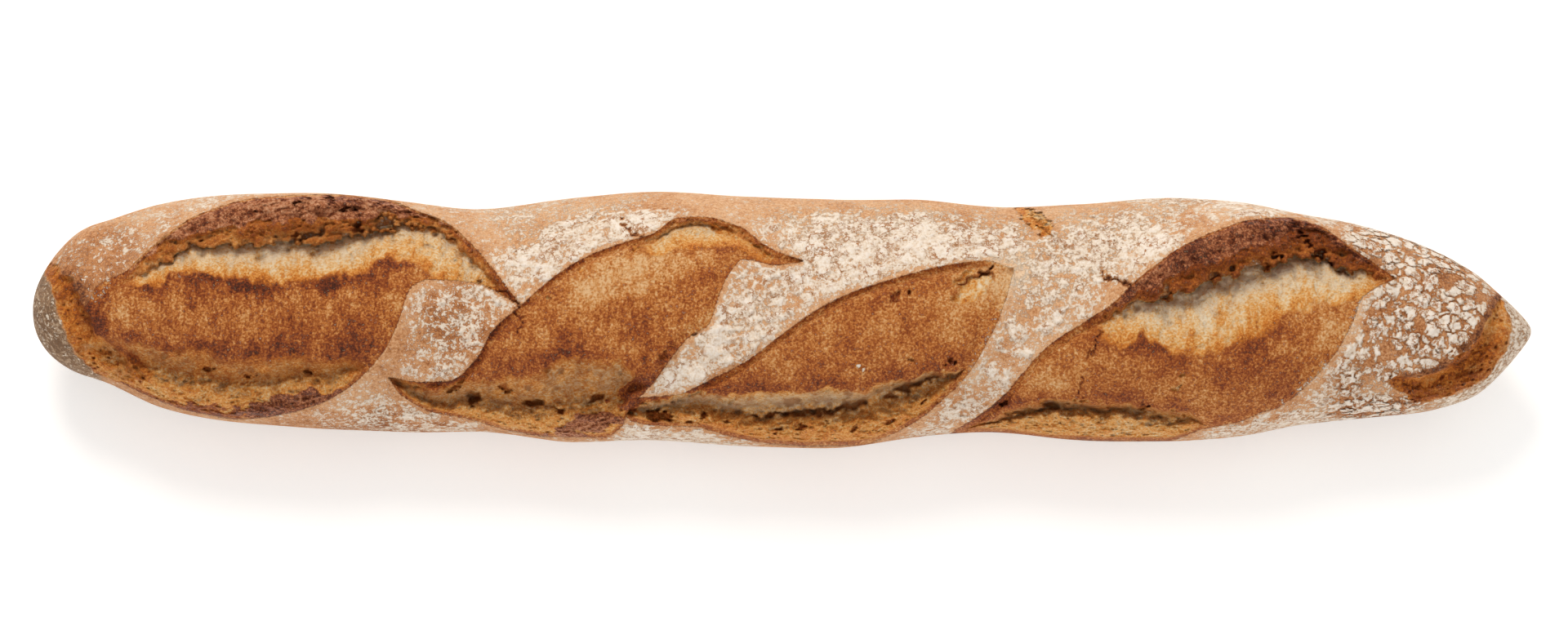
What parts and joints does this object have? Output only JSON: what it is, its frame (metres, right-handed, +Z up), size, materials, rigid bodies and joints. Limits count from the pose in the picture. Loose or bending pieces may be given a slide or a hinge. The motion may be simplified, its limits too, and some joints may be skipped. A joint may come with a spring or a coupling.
{
  "type": "baguette",
  "caption": "Short, stout rustic baguette with burst slanting cuts, raised browned ears, torn crumb, patches of flour and a flat underside.",
  "frame": {"origin": "middle of the loaf's box in plan, on the floor it rests on", "axes": "X along the loaf, its pointed tip towards +X; Z up; -Y is the side the cuts tore open along"},
  "size_m": [0.4588, 0.0788, 0.0602],
  "materials": {
    "crust": "matte"
  },
  "bodies": {
    "root": {"loaf": "crust"}
  },
  "joints": []
}
